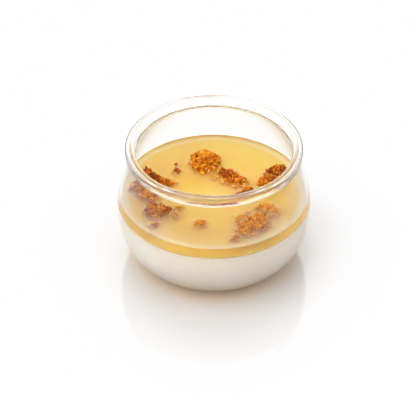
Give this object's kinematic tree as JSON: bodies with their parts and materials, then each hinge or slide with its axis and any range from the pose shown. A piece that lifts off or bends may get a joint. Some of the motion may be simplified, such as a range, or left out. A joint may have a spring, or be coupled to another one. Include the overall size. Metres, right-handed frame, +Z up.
{
  "type": "panna cotta dessert in a glass",
  "caption": "Set cream dessert with an amber jelly layer and half-sunk clusters of caramelised crumble, in a round-bellied glass pot with a thick, flat lip.",
  "frame": {"origin": "on the glass's axis, on the plane that its foot rests on", "axes": "+Z up along the glass's axis; -Y is the side nearest the viewer, +X to the viewer's right"},
  "size_m": [0.085, 0.085, 0.0567],
  "materials": {
    "clear_glass": "clear, polished, soft-edged lip",
    "set_cream": "smooth set cream, satin",
    "amber_jelly": "wet, glossy, amber fruit jelly",
    "caramel_crumble": "grainy caramelised sugar crumble, half glossy",
    "pale_crumble": "grainy golden crumble soaked with jelly"
  },
  "bodies": {
    "root": {"glass": "clear_glass", "cream": "set_cream", "jelly": "amber_jelly", "crumble_back": "caramel_crumble", "crumble_left": "caramel_crumble", "crumble_middle": "caramel_crumble", "crumble_right": "caramel_crumble", "crumble_front_right": "pale_crumble", "crumble_front_left": "caramel_crumble"}
  },
  "joints": []
}
